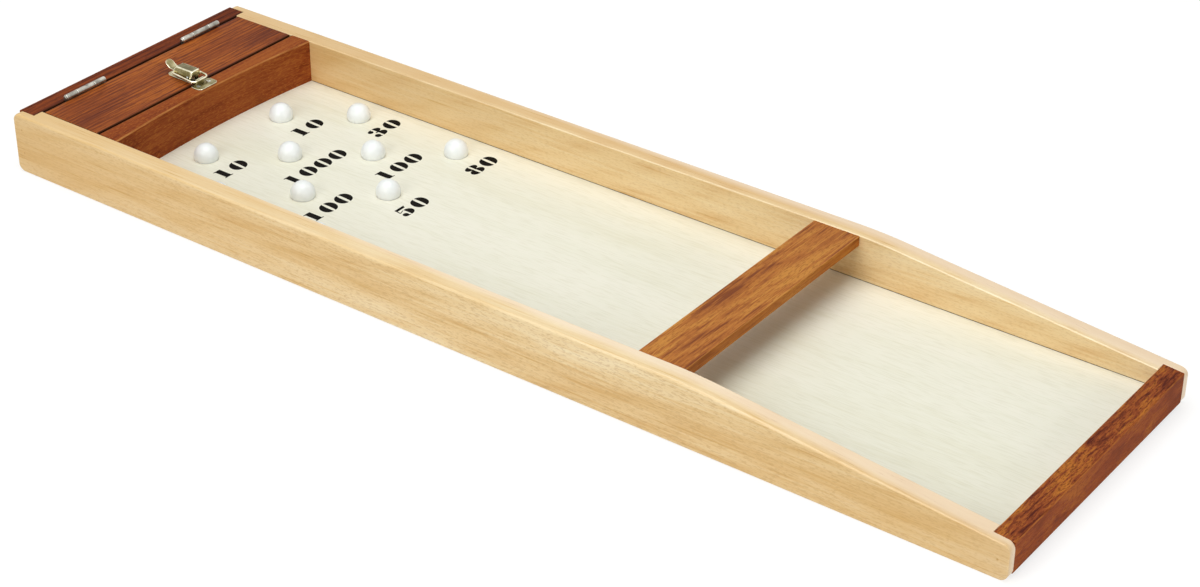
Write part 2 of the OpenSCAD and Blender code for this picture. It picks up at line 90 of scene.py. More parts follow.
def tone(code):
    """Linear colour of an sRGB hex code: the power curve, straight near black."""
    c = np.array([int(code[i : i + 2], 16) for i in (1, 3, 5)]) / 255
    c = np.where(c <= 0.04045, c / 12.92, ((c + 0.055) / 1.055) ** 2.4)
    return (*c.tolist(), 1.0)


def node(tree, kind, inputs=(), stops=(), **settings):
    """Adds a shader node: settings are its properties, inputs its values or
    links, stops a colour ramp's places and colours, lowest and highest first."""
    made = tree.nodes.new("ShaderNode" + kind)
    for key, value in settings.items():
        setattr(made, key, value)
    for key, value in dict(inputs).items():
        if isinstance(value, bpy.types.NodeSocket):
            tree.links.new(value, made.inputs[key])
        else:
            made.inputs[key].default_value = value
    for i, (place, colour) in enumerate(stops):
        ramp = made.color_ramp.elements
        stop = ramp[i] if i < 2 else ramp.new(place)
        stop.position, stop.color = place, colour
    return made


# ---- shapes ---------------------------------------------------------------
# A shell is its points, its faces and a mark for each point: 1 on a rounded
# arris, -1 inside a narrow joint, 0 elsewhere. Finishes read it as a painted
# highlight along the edges and as painted shade in the joints.


def merged(points, faces, marks):
    """One vertex where several fall together; faces lose repeated corners."""
    close = np.round(points, 4)
    _, first, place = np.unique(close, axis=0, return_index=True, return_inverse=True)
    place = place.reshape(-1)
    kept = []
    for face in faces:
        ring = place[list(face)].tolist()
        ring = [v for i, v in enumerate(ring) if v != ring[i - 1]]
        if len(ring) > 2 and len(set(ring)) == len(ring):
            kept.append(ring)
    return points[first], kept, marks[first]


def signed_volume(points, faces):
    """Sum of the tetrahedra between the origin and each face's fan."""
    total = 0.0
    for face in faces:
        p = points[face]
        total += np.sum(np.cross(p[1:-1], p[2:]) @ p[0])
    return total


def grid(points, marks=None, closed_rows=False):
    """A shell from a grid of rows and columns: each four neighbours make a
    face, columns close around, rows close into a ring or end in flat caps."""
    rows, cols = points.shape[:2]
    index = np.arange(rows * cols).reshape(rows, cols)
    right = np.roll(index, -1, axis=1)
    low, high = np.arange(rows), np.roll(np.arange(rows), -1)
    if not closed_rows:
        low, high = low[:-1], high[:-1]
    quads = np.stack([index[low], right[low], right[high], index[high]], -1)
    faces = quads.reshape(-1, 4).tolist()
    if not closed_rows:
        faces += [index[0, ::-1].tolist(), index[-1].tolist()]
    marks = np.zeros((rows, cols)) if marks is None else marks
    return points.reshape(-1, 3), faces, marks.reshape(-1)


def piece(name, shells, material, body, replaces=(), sharp=38):
    """Joins closed shells into one mesh, each turned to face outwards, with
    edges over the sharp angle left crisp and flats weighing most in shading."""
    points, faces, marks, base = [], [], [], 0
    for shell in shells:
        p, f, m = merged(*shell)
        if signed_volume(p, f) < 0:
            f = [r[::-1] for r in f]
        faces += [[i + base for i in r] for r in f]
        points.append(p)
        marks.append(m)
        base += len(p)
    mesh = bpy.data.meshes.new(name)
    mesh.from_pydata((np.concatenate(points) * MM).tolist(), [], faces)
    mesh.update()
    arris = mesh.attributes.new("arris", "FLOAT", "POINT")
    arris.data.foreach_set("value", np.concatenate(marks))
    mesh.shade_smooth()
    mesh.set_sharp_from_angle(angle=math.radians(sharp))
    mesh.materials.append(material)
    made = bpy.data.objects.new(name, mesh)
    bpy.context.scene.collection.objects.link(made)
    flats = made.modifiers.new("flats_first", "WEIGHTED_NORMAL")
    flats.keep_sharp = True
    flats.weight = 60
    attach(made, body)
    if replaces:
        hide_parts(*replaces)
    return made


def outline(corners, steps=8):
    """Closed outline from (a, b, radius) corners taken anticlockwise: each
    corner becomes the arc that touches both its sides, or with no radius one
    point on a straight side. Corners with a fourth value take it as their
    mark; other arcs are marked 1 inside their ends, for a painted highlight.
    Returns the points, the outward directions there, and the marks."""
    points, outward, marks = [], [], []
    count = len(corners)
    for i, (a, b, r, *mark) in enumerate(corners):
        p = np.array([a, b], float)
        u = np.array(corners[i - 1][:2], float) - p
        v = np.array(corners[(i + 1) % count][:2], float) - p
        u, v = u / np.linalg.norm(u), v / np.linalg.norm(v)
        if r == 0:
            points.append(p[None])
            outward.append([[v[1], -v[0]]])
            marks.append(mark)
            continue
        start = math.atan2(u[0], -u[1])
        turn = (math.atan2(-v[0], v[1]) - start + math.pi) % (2 * math.pi) - math.pi
        angles = start + turn * np.linspace(0, 1, steps + 1)
        n = np.stack([np.cos(angles), np.sin(angles)], -1)
        half = math.acos(np.clip(u @ v, -1, 1)) / 2
        centre = p + (u + v) / np.linalg.norm(u + v) * r / math.sin(half)
        points.append(centre + r * n)
        outward.append(n)
        marks.append(np.full(steps + 1, mark[0]) if mark else np.r_[0, np.ones(steps - 1), 0])
    return np.concatenate(points), np.concatenate(outward), np.concatenate(marks)


def prism(shape, c0, c1, ease0, ease1, axes, steps=4):
    """Outline carried along a third axis from c0 to c1. At each end a quarter
    circle of the ease's radius draws the outline in as it nears the cap."""
    points, outward, rounded = shape
    t = np.linspace(0, math.pi / 2, steps + 1)
    inset = np.concatenate([ease0 * (1 - np.sin(t)), ease1 * (1 - np.cos(t))])
    depth = np.concatenate([c0 + ease0 * (1 - np.cos(t)), c1 - ease1 * (1 - np.sin(t))])
    flat = points[None] - inset[:, None, None] * outward[None]
    depth = np.broadcast_to(depth[:, None, None], flat.shape[:2] + (1,))
    full = np.concatenate([flat, depth], -1)[:, :, ["abc".index(c) for c in axes]]
    # The eased ends are marked 1 for a painted highlight; points marked below 0 keep their painted
    # shade
    bend = np.r_[0, np.ones(steps - 1), 0]
    marks = np.where(rounded < 0, rounded, np.maximum(np.r_[bend, bend][:, None], rounded))
    marks[[0, -1]] = 0
    return grid(full, marks)


def crossbar(corners, half, ease):
    """Section in Y and Z carried across the board, half its length each way."""
    return prism(outline(corners), -half, half, ease, ease, "cab")


def revolved(profile, centre, axis, turns=32, ring=False):
    """Profile of (distance along the axis, radius) turned about that axis;
    a ring's profile is closed and has no caps."""
    profile = np.asarray(profile, float)
    a = np.linspace(0, 2 * math.pi, turns, endpoint=False)
    along = np.repeat(profile[:, :1], turns, 1)
    full = np.stack([along, profile[:, 1:] * np.cos(a), profile[:, 1:] * np.sin(a)], -1)
    turn = Vector((1, 0, 0)).rotation_difference(Vector(axis).normalized()).to_matrix()
    return grid(full @ np.array(turn).T + np.asarray(centre, float), None, ring)


def wire(path, radius, side, turns=16, mark=0.0):
    """Round rod along a path: circles square to the path's direction, placed
    by one fixed sideways direction so that they don't twist."""
    step = np.gradient(path, axis=0)
    step /= np.linalg.norm(step, axis=1, keepdims=True)
    across = np.cross(step, side)
    across /= np.linalg.norm(across, axis=1, keepdims=True)
    rise = np.cross(across, step)
    a = np.linspace(0, 2 * math.pi, turns, endpoint=False)[None, :, None]
    rings = across[:, None] * np.cos(a) + rise[:, None] * np.sin(a)
    return grid(path[:, None] + radius * rings, np.full(rings.shape[:2], mark))


# ---- side rails -----------------------------------------------------------


def end_drop(y, radius):
    """How far a rounded end lowers or raises an edge: a circle's sagitta,
    within one radius of either end of the rail."""
    gap = np.clip(radius - (FAR_Y - np.abs(y)), 0, radius)
    return radius - np.sqrt(np.maximum(radius**2 - gap**2, 0))


def rail_top(y):
    """Level stretch, then a straight taper to the player's end, with an arc of
    the bend's radius between them."""
    slope = (RAIL_H - PLAYER_H) / (FAR_Y + TAPER_Y)
    angle = math.atan(slope)
    reach = BEND_R * math.tan(angle / 2)
    level = np.full_like(y, RAIL_H)
    taper = RAIL_H - (TAPER_Y - y) * slope
    arc = RAIL_H - BEND_R + np.sqrt(
        np.maximum(BEND_R**2 - np.clip(TAPER_Y + reach - y, 0, None) ** 2, 0)
    )
    low = TAPER_Y - reach * math.cos(angle)
    return np.where(y > TAPER_Y + reach, level, np.where(y < low, taper, arc))


def side_rail():
    """Rail on the left. Rows run along the length, columns around a section
    with four eased corners and the groove's open seam over the bed. Between
    y = -482 and 481 the section has the full thickness, beyond that only the
    tongue. The outer top arris is fullest in the middle and nearly crisp at
    the player's end."""
    foot_r, head_r, groove_depth, tongue_z = 7.0, 5.8, 4.0, 16.2
    ends = foot_r * (1 - np.cos(np.linspace(0, math.pi / 2, 13)))
    near, far = -FAR_Y + ends, (FAR_Y - ends)[::-1]
    middle = [np.linspace(-470, -262, 14), np.linspace(-252, -198, 22), np.linspace(-180, 470, 36)]
    y = np.concatenate([near, [NEAR_FACE] * 2, *middle, [BACK_FACE] * 2, far])
    tongue = np.ones(len(y), bool)
    tongue[len(near) + 1 : -len(far) - 1] = False
    draw_in = np.zeros_like(y)
    draw_in[:5] = 1.2 * (1 - np.sin(np.linspace(0, math.pi / 2, 5)))
    draw_in[-5:] = draw_in[4::-1]
    x0 = -SIDE_X + draw_in
    x1 = np.where(tongue, -TONGUE_X, -INNER_X)
    z0, z1 = end_drop(y, foot_r), rail_top(y) - end_drop(y, head_r)
    swell = 1.0 + 1.4 * np.clip((y + FAR_Y) / 220, 0, 1)
    crisp = np.where(tongue, 0.5, 1.1)
    columns = []
    for x, z, r, first in ((x0, z0, swell * 0.6, 180), (x1, z0, crisp, 270)):
        a = np.radians(first + np.linspace(0, 90, 7))
        inside = 1 if first == 180 else -1
        cx, cz = (x + inside * r)[:, None], (z + r)[:, None]
        columns.append((cx + r[:, None] * np.cos(a), cz + r[:, None] * np.sin(a)))
    depth = np.where(tongue, 0, groove_depth)[:, None] * [0, 1, 1, 0, 0]
    seam = BED_TOP + np.array([0, 0, SEAM, SEAM, SEAM + 0.3])
    columns.append((x1[:, None] - depth, np.where(tongue[:, None], tongue_z, seam)))
    for x, z, r, first in ((x1, z1, crisp, 0), (x0, z1, swell, 90)):
        a = np.radians(first + np.linspace(0, 90, 7))
        inside = 1 if first == 90 else -1
        cx, cz = (x + inside * r)[:, None], (z - r)[:, None]
        columns.append((cx + r[:, None] * np.cos(a), cz + r[:, None] * np.sin(a)))
    xs = np.concatenate([c[0] for c in columns], 1)
    zs = np.concatenate([c[1] for c in columns], 1)
    full = np.stack([xs, np.repeat(y[:, None], xs.shape[1], 1), zs], -1)
    # The eased corners are marked 1 for a painted highlight and the groove's seam -1 for painted
    # shade, except along the tongue
    bend = [0, 1, 1, 1, 1, 1, 0]
    marks = np.tile(np.r_[bend, bend, -1, -1, -1, -1, 0, bend, bend], (len(y), 1)).astype(float)
    marks[tongue] = np.maximum(marks[tongue], 0)
    marks[[0, -1]] = 0
    return grid(full, marks)


# ---- score numbers --------------------------------------------------------


def half_moon(cx, cy, rx, ry, side, slit=1.6, lean=0.06, steps=22):
    """One half of a stencilled bowl: outside an ellipse that is squared off a
    little, inside a flatter arc half a slit from the middle, both ending in
    tips that keep their distance from it, and all leaning slightly."""
    tip = 0.55
    t = np.linspace(-math.pi / 2, math.pi / 2, steps)
    y = ry * np.sin(t)
    outer = tip + (rx - tip) * np.cos(t) ** 0.86
    inner = tip + (slit - tip) * np.cos(t) ** 0.5
    ring = np.concatenate([np.c_[outer, y], np.c_[inner, y][::-1][1:-1]])
    return ring * [side, 1] + np.c_[lean * ring[:, 1], 0 * ring[:, 1]] + [cx, cy]


def terminal(cx, cy, rx, ry, steps=18):
    """Round end of a stroke: an ellipse."""
    a = np.linspace(0, 2 * math.pi, steps, endpoint=False)
    return np.c_[cx + rx * np.cos(a), cy + ry * np.sin(a)]


def strokes(digit):
    """Outlines of one stencilled fat-face digit, about 15 mm high, middle at 0."""
    if digit == "0":
        return [half_moon(0, 0, 8.4, 7.7, side) for side in (-1, 1)]
    if digit == "1":
        stem = [(-3.1, -6.5), (-3.1, 6.2), (-4.9, 6.8), (-4.9, 7.6), (3.1, 7.6), (3.1, -6.5)]
        return [np.array(stem + [(4.9, -6.9), (4.9, -7.6), (-4.9, -7.6), (-4.9, -6.9)])]
    if digit == "8":
        bowls = ((4.15, 7.3, 3.5), (-3.35, 8.0, 4.2))
        return [half_moon(0, y, w, h, side, 1.3, 0) for y, w, h in bowls for side in (-1, 1)]
    if digit == "3":
        return [
            half_moon(-0.5, 4.05, 7.6, 3.6, 1, 0.9, 0),
            half_moon(-0.5, -3.4, 8.3, 4.2, 1, 0.9, 0),
            terminal(-4.6, 4.6, 2.9, 2.5),
            terminal(-4.7, -4.5, 3.1, 2.9),
            np.array([(-5.5, 6.3), (-1.7, 6.6), (-1.7, 7.6), (-4.2, 7.4)]),
            np.array([(-5.0, -7.3), (-1.7, -7.6), (-1.7, -6.6), (-5.5, -6.2)]),
            np.array([(-2.2, -0.2), (1.5, -0.4), (1.5, 1.2), (-2.2, 0.9)]),
        ]
    return [
        np.array([(-5.7, 4.5), (4.6, 4.5), (6.4, 7.6), (-5.7, 7.4)]),
        np.array([(-6.3, 0.2), (-5.1, 0.6), (-4.6, 4.6), (-5.7, 4.6)]),
        np.array([(-5.6, 0.0), (-0.6, 1.7), (-0.6, 2.5), (-5.4, 0.9)]),
        half_moon(-0.5, -2.6, 7.7, 5.0, 1, 1.0, 0),
        terminal(-4.3, -4.6, 2.9, 2.8),
        np.array([(-4.4, -7.5), (-0.9, -7.6), (-0.9, -6.7), (-4.4, -6.5)]),
    ]


def score_numbers():
    """All the numbers, each digit as far from the next as half their widths;
    each stroke is a thin slab of ink on the bed."""
    shells = []
    ink_low, ink_top = 0.01, 0.07
    wide = {"1": 19.2, "0": 19.35, "3": 19.35, "5": 19.35, "8": 19.1}
    for score, x, y in SCORES:
        steps = np.cumsum([0] + [(wide[a] + wide[b]) / 2 for a, b in zip(score, score[1:])])
        for digit, step in zip(score, steps - steps[-1] / 2):
            for ring in strokes(digit):
                ring = ring + [x + step, y]
                levels = (BED_TOP + ink_low, BED_TOP + ink_top)
                rows = [np.c_[ring, np.full(len(ring), level)] for level in levels]
                shells.append(grid(np.stack(rows)))
    return shells


# ---- finishes -------------------------------------------------------------


def bare_material(name):
    """A new material and its emptied node tree."""
    material = bpy.data.materials.new(name)
    material.use_nodes = True
    material.node_tree.nodes.clear()
    return material, material.node_tree


def timber(
    name, along, tones, figure, lines, streaks, flecks, shine, arris_highlight, shift, drifts_and_painted_light=(), edge=1000
):
    """Planed wood from four layers: figure, the slow change of tone; lines,
    growth lines at even steps, which wander with the figure; streaks, the
    fibres; flecks, short dark rays or open pores. Figure, streaks and flecks
    are (mm between marks, times longer along the grain, strength), and flecks
    have their share on level faces. Lines are (mm between them along X, Y and
    Z, wander, strength). Shine is roughness and specular level; after it come
    the tone and strength of a painted highlight along the arrises. Tones run
    from dark to light and end with the flecks'. The grain runs along one axis,
    and the shift gives each board its own part of the figure. Each drift is a
    tone that the board turns to and how far, the direction and between which
    mm along it: some are the wood's own change of tone, others a painted sheen
    or painted shade on part of a board. Points marked as inside a joint take
    painted shade, and past the edge on either side, in mm, lies the painted
    shade of a seam."""
    upright, lying, fleck_from, fleck_full = 0.2, 0.9, 0.52, 0.64
    highlight_from, highlight_full, joint_shade = 0.25, 0.75, 0.85
    seam_blur, seam_shade, gloss_swing = 0.3, 0.8, 0.06
    material, tree = bare_material(name)
    place = node(tree, "TexCoord").outputs
    coords = place["Object"]
    level = node(tree, "SeparateXYZ", {0: place["Normal"]}).outputs[2]
    layers = []
    for (spacing, stretch, *_), detail in zip((figure, streaks, flecks), (2.0, 5.0, 1.0)):
        scale = [1 / (spacing * MM)] * 3
        scale["XYZ".index(along)] /= stretch
        mapped = node(tree, "Mapping", {"Vector": coords, "Scale": scale, "Location": shift})
        noise = {"Vector": mapped.outputs[0], "Scale": 1.0, "Detail": detail, "Roughness": 0.6}
        layers.append(node(tree, "TexNoise", noise).outputs[0])
    steps = [1 / (gap * MM) for gap in lines[0]]
    even = node(tree, "VectorMath", {0: coords, 1: steps}, operation="DOT_PRODUCT").outputs["Value"]
    wander = {0: layers[0], 1: float(lines[1]), 2: even}
    ring = node(tree, "Math", wander, operation="MULTIPLY_ADD").outputs[0]
    for operation, value in (("PINGPONG", 0.5), ("MULTIPLY", 2.0), ("POWER", 1.6)):
        ring = node(tree, "Math", {0: ring, 1: value}, operation=operation).outputs[0]
    broken = node(tree, "Math", {0: layers[1], 1: -3.0, 2: 2.5}, operation="MULTIPLY_ADD")
    ring = node(tree, "Math", {0: ring, 1: broken.outputs[0]}, operation="MULTIPLY").outputs[0]
    spread, ring_mean = 2.4, 0.38
    weights = (figure[2] * spread, -lines[2], streaks[2] * spread)
    total = 0.5 - weights[0] / 2 - weights[1] * ring_mean - weights[2] / 2
    for value, weight in zip((layers[0], ring, layers[1]), weights):
        total = node(
            tree, "Math", {0: value, 1: weight, 2: total}, operation="MULTIPLY_ADD"
        ).outputs[0]
    dark, mid, light, fleck_tone = [tone(t) for t in tones]
    stops = [(0.15, dark), (0.85, light), (0.5, mid)]
    colour = node(tree, "ValToRGB", {0: total}, stops).outputs[0]
    share = {0: level, 1: upright, 2: lying, 3: flecks[2], 4: flecks[2] * flecks[3]}
    fleck = node(tree, "MapRange", share).outputs[0]
    fleck = node(
        tree, "MapRange", {0: layers[2], 1: fleck_from, 2: fleck_full, 3: 0.0, 4: fleck}
    ).outputs[0]
    # Painted highlight: marked arrises turn towards the highlight tone, unevenly along the fibres
    mark = node(tree, "Attribute", attribute_name="arris").outputs["Fac"]
    uneven = node(tree, "Math", {0: mark, 1: layers[1]}, operation="MULTIPLY").outputs[0]
    edge_highlight = node(
        tree, "MapRange", {0: uneven, 1: highlight_from, 2: highlight_full, 3: 0.0, 4: 2 * arris_highlight[1]}
    ).outputs[0]
    coats = [(fleck, fleck_tone), (edge_highlight, tone(arris_highlight[0]))]
    # Drifts: the wood's own slow change of tone, and painted sheen or painted shade on part of a
    # board
    for drift_and_light_tone, amount, direction, low, high in drifts_and_painted_light:
        distance = node(
            tree, "VectorMath", {0: coords, 1: direction}, operation="DOT_PRODUCT"
        ).outputs["Value"]
        drift_and_light_amount = node(
            tree, "MapRange", {0: distance, 1: low * MM, 2: high * MM, 3: 0.0, 4: amount}
        ).outputs[0]
        coats.append((drift_and_light_amount, tone(drift_and_light_tone)))
    # Painted shade: points marked -1 inside a joint, and anything past the edge, turn towards the
    # dark joint tone
    joint = node(tree, "MapRange", {0: mark, 1: 0.0, 2: -1.0, 3: 0.0, 4: joint_shade}).outputs[0]
    across = node(tree, "SeparateXYZ", {0: coords}).outputs[0]
    aside = node(tree, "Math", {0: across}, operation="ABSOLUTE").outputs[0]
    seam = node(
        tree,
        "MapRange",
        {0: aside, 1: (edge - seam_blur) * MM, 2: edge * MM, 3: 0.0, 4: seam_shade},
    ).outputs[0]
    joint = node(tree, "Math", {0: joint, 1: seam}, operation="MAXIMUM").outputs[0]
    coats.append((joint, tone("#2E180A")))
    for amount, over in coats:
        colour = node(tree, "Mix", {0: amount, 6: colour, 7: over}, data_type="RGBA").outputs[2]
    height = node(tree, "Math", {0: layers[1], 1: fleck}, operation="SUBTRACT").outputs[0]
    bump = node(tree, "Bump", {"Strength": 0.25, "Distance": 0.0002, "Height": height}).outputs[0]
    rough = node(
        tree,
        "MapRange",
        {0: layers[1], 1: 0.3, 2: 0.7, 3: shine[0] - gloss_swing, 4: shine[0] + gloss_swing},
    ).outputs[0]
    surface = node(
        tree,
        "BsdfPrincipled",
        {
            "Base Color": colour,
            "Roughness": rough,
            "IOR": 1.5,
            "Specular IOR Level": shine[1],
            "Normal": bump,
        },
    )
    node(tree, "OutputMaterial", {"Surface": surface.outputs[0]})
    return material


# Steamed beech, planed and clear lacquered: pale and even, with broad soft
# bands, and on the upright faces short fine rays, drawn a little coarser than
# real so that they show. The left rail drifts to honey towards both its ends.
# The right one's top is painted a darker honey than its inner face, as
# painted shade, and along each top a strip, widest at the player's end, is
# painted nearly cream as a painted sheen
beech_left = timber(
    "lacquered_beech_left",
    "Y",
    ("#D4A966", "#E8C993", "#F3DEB5", "#B58748"),
    (34, 12, 0.5),
    ((3000, 90, 23), 1.0, 0.12),
    (2.0, 34, 0.35),
    (0.9, 5, 0.36, 0.2),
    (0.32, 0.6),
    ("#F3E2C0", 0.15),
    (0.3, 0.1, 0.7),
    [
        ("#D6A658", 0.5, (0, 1, 0), -50, 500),
        ("#D4A55A", 0.42, (0, -1, 0), 160, 460),
        ("#F6E2CC", 0.6, (1, -0.02, 0), -133, -126),
    ],
)
beech_right = timber(
    "lacquered_beech_right",
    "Y",
    ("#DCB276", "#ECCD98", "#F4DDB2", "#BC8E52"),
    (30, 20, 0.4),
    ((2600, 70, 26), 1.2, 0.15),
    (2.4, 34, 0.3),
    (0.9, 5, 0.22, 0.6),
    (0.32, 0.6),
    ("#FFF0CE", 0.45),
    (7.1, 3.4, 2.7),
    [
        ("#D3A560", 0.6, (1, 0.012, 0), 124, 131),
        ("#F6E2CC", 0.6, (1, -0.02, 0), 133, 140),
    ],
)
# Oiled red-brown hardwood: straight dark lines on the lid, open pores all
# over, a soft sheen without a film of varnish
lid_wood = timber(
    "oiled_hardwood_lid",
    "X",
    ("#5A230D", "#8C451C", "#B06226", "#481A0B"),
    (70, 3, 0.65),
    ((620, 4.6, 30), 3.2, 0.24),
    (1.2, 50, 0.6),
    (0.9, 12, 0.5, 1.0),
    (0.55, 0.1),
    ("#B8793F", 0.3),
    (2.2, 6.4, 3.1),
)
# The same wood on the box front: plainer and redder, its marks short, drier
front_wood = timber(
    "oiled_hardwood_box_front",
    "X",
    ("#6C2C10", "#87401C", "#9C5528", "#B56B2E"),
    (40, 5, 0.4),
    ((700, 5, 42), 1.2, 0.15),
    (2.2, 22, 0.45),
    (0.9, 5, 0.45, 1.0),
    (0.6, 0.06),
    ("#BC8048", 0.5),
    (1.3, 5.2, 0.6),
)
# On the bridge: the palest of them, orange brown with a wavy figure across the
# grain; the upright face to the player is painted a warmer, darker brown as
# painted shade
bridge_wood = timber(
    "oiled_hardwood_bridge",
    "X",
    ("#7A4020", "#AE6A32", "#C4863F", "#75391A"),
    (34, 4, 0.75),
    ((60, 13, 26), 3.5, 0.25),
    (2.0, 30, 0.55),
    (1.1, 6, 0.45, 1.0),
    (0.55, 0.1),
    ("#CF9A5A", 0.45),
    (4.3, 1.2, 2.6),
    [("#A45C04", 0.4, (0, -1, 0), 212, 212.8)],
)
# On the player's rail: wild, close figure from dark plum to tan; its outer
# face is painted warmer, as painted shade
near_wood = timber(
    "oiled_hardwood_player_rail",
    "X",
    ("#522117", "#8F4827", "#B8702F", "#44190F"),
    (26, 2.2, 0.7),
    ((150, 6, 17), 3.5, 0.2),
    (1.4, 9, 0.5),
    (0.9, 4, 0.6, 1.0),
    (0.6, 0.06),
    ("#BC8048", 0.5),
    (7.3, 2.2, 3.6),
    [("#9A4610", 0.45, (0, -1, 0), 498.8, 499.6)],
)
# On the back rail: the darkest, with wide soft lines that nearly vanish
back_wood = timber(
    "oiled_hardwood_back_rail",
    "X",
    ("#44160A", "#6A2F17", "#8A421E", "#2F1109"),
    (30, 7, 0.6),
    ((500, 7, 22), 2.0, 0.3),
    (2.0, 26, 0.5),
    (1.1, 8, 0.45, 1.0),
    (0.6, 0.06),
    ("#A56D42", 0.3),
    (2.3, 7.2, 5.6),
)
# Bleached poplar face veneer under lacquer: nearly plain, with faint threads,
# and painted shade along its edges where it runs into the rails' grooves
bed_wood = timber(
    "lacquered_poplar_veneer",
    "Y",
    ("#E3E0CA", "#ECEADA", "#F1EEE1", "#CFCAB0"),
    (60, 5, 0.4),
    ((37, 1600, 900), 2.0, 0.07),
    (2.6, 26, 0.22),
    (1.1, 16, 0.22, 1.0),
    (0.42, 0.5),
    ("#F0EDE0", 0.1),
    (0.4, 0.9, 0.2),
    edge=INNER_X,
)
# Turned beech dowel, bare and matt
dowel_wood = timber(
    "turned_beech_dowel",
    "X",
    ("#C9A56F", "#DDBE8B", "#E9CFA0", "#A88352"),
    (10, 4, 0.4),
    ((300, 3, 4), 1.0, 0.2),
    (1.5, 12, 0.4),
    (1.0, 4, 0.4, 1.0),
    (0.7, 0.3),
    ("#E9CFA0", 0.1),
    (1.9, 0.4, 3.3),
)
# Filler over the sunk pins: a shade browner than the beech around it
pin_filler = timber(
    "brown_stopping_over_pins",
    "Z",
    ("#B98A4C", "#C99C5E", "#D3A86B", "#9A6C38"),
    (2, 3, 0.6),
    ((9, 9, 9), 1.0, 0.1),
    (0.8, 4, 0.5),
    (0.6, 3, 0.5, 1.0),
    (0.6, 0.3),
    ("#C99C5E", 0.1),
    (0.8, 6.1, 1.7),
)


def plated_metal(name, edge_highlight, usual, dull, roughness, spacing, scratch=0.12):
    """Plated steel: patches of duller plating some millimetres wide, a painted
    highlight along the arrises, painted shade where it's marked as inside, with
    fine scratches in the relief."""
    scratch_width, inside_shade = 0.4, 0.88
    material, tree = bare_material(name)
    coords = node(tree, "TexCoord").outputs["Object"]
    patches = node(
        tree,
        "TexNoise",
        {"Vector": coords, "Scale": 1 / (spacing * MM), "Detail": 3.0, "Roughness": 0.5},
    ).outputs[0]
    scratches = node(
        tree,
        "TexNoise",
        {"Vector": coords, "Scale": 1 / (scratch_width * MM), "Detail": 1.0, "Distortion": 1.5},
    ).outputs[0]
    arris = node(tree, "Attribute", attribute_name="arris").outputs["Fac"]
    # Painted highlight: marked arrises move up the ramp towards the palest tone
    patches_and_highlight = node(tree, "Math", {0: arris, 1: 0.4, 2: patches}, operation="MULTIPLY_ADD").outputs[0]
    stops = [(0.35, tone(dull)), (0.92, tone(edge_highlight)), (0.58, tone(usual))]
    colour = node(tree, "ValToRGB", {0: patches_and_highlight}, stops).outputs[0]
    # Painted shade: points marked as inside turn towards a near black
    inside = node(tree, "MapRange", {0: arris, 1: 0.0, 2: -1.0, 3: 0.0, 4: inside_shade}).outputs[0]
    colour = node(
        tree, "Mix", {0: inside, 6: colour, 7: tone("#1C1610")}, data_type="RGBA"
    ).outputs[2]
    gloss = node(
        tree,
        "MapRange",
        {0: patches_and_highlight, 1: 0.3, 2: 0.9, 3: roughness + 0.08, 4: roughness},
    ).outputs[0]
    relief = node(
        tree, "Bump", {"Strength": scratch, "Distance": 0.00005, "Height": scratches}
    ).outputs[0]
    surface = node(
        tree,
        "BsdfPrincipled",
        {"Base Color": colour, "Metallic": 1.0, "Roughness": gloss, "Normal": relief},
    )
    node(tree, "OutputMaterial", {"Surface": surface.outputs[0]})
    return material


# Pressed steel, yellow zinc plated: straw coloured, with its palest tone
# painted along the edges as a highlight
yellow_zinc = plated_metal("yellow_zinc_plated_steel", "#F8F4DA", "#B0A67E", "#7C7249", 0.2, 8)
# Drawn steel hinge, dull nickel plated: grey with a soft sheen
dull_nickel = plated_metal("dull_nickel_plated_steel", "#E6E4DC", "#B9B7AC", "#86837A", 0.32, 6)
# Bright zinc screws: cool grey, a little shinier than the hinges
bright_zinc = plated_metal("bright_zinc_screw_steel", "#E8EAE6", "#BDC0BC", "#8F9490", 0.25, 5)

# Moulded white plastic ball: milky, softly glossy, faintly uneven
ball_plastic, tree = bare_material("moulded_white_plastic")
coords = node(tree, "TexCoord").outputs["Object"]
cloud = node(tree, "TexNoise", {"Vector": coords, "Scale": 1 / (9 * MM), "Detail": 2.0}).outputs[0]
stops = [(0.3, tone("#ECF0F1")), (0.7, tone("#F1F4F4"))]
colour = node(tree, "ValToRGB", {0: cloud}, stops).outputs[0]
surface = node(
    tree,
    "BsdfPrincipled",
    {
        "Base Color": colour,
        "Roughness": 0.3,
        "IOR": 1.5,
        "Subsurface Weight": 0.6,
        "Subsurface Radius": (0.003, 0.003, 0.003),
        "Subsurface Scale": 1.0,
    },
)
node(tree, "OutputMaterial", {"Surface": surface.outputs[0]})

# Screen-printed black ink on veneer: the threads of the wood thin it a little
printing_ink, tree = bare_material("screen_printed_black_ink")
coords = node(tree, "TexCoord").outputs["Object"]
scale = (1 / (0.9 * MM), 1 / (14 * MM), 1.0)
across = node(tree, "Mapping", {"Vector": coords, "Scale": scale}).outputs[0]
thin = node(tree, "TexNoise", {"Vector": across, "Scale": 1.0, "Detail": 3.0}).outputs[0]
stops = [(0.35, tone("#080706")), (0.75, tone("#1B1714"))]
colour = node(tree, "ValToRGB", {0: thin}, stops).outputs[0]
surface = node(
    tree,
    "BsdfPrincipled",
    {"Base Color": colour, "Roughness": 0.7, "IOR": 1.5, "Specular IOR Level": 0.05},
)
node(tree, "OutputMaterial", {"Surface": surface.outputs[0]})

# ---- wood pieces ----------------------------------------------------------

left = side_rail()
right = (left[0] * [-1, 1, 1], *left[1:])
piece("side_rail_left", [left], beech_left, "board", ["left_rail"])
piece("side_rail_right", [right], beech_right, "board", ["right_rail"])
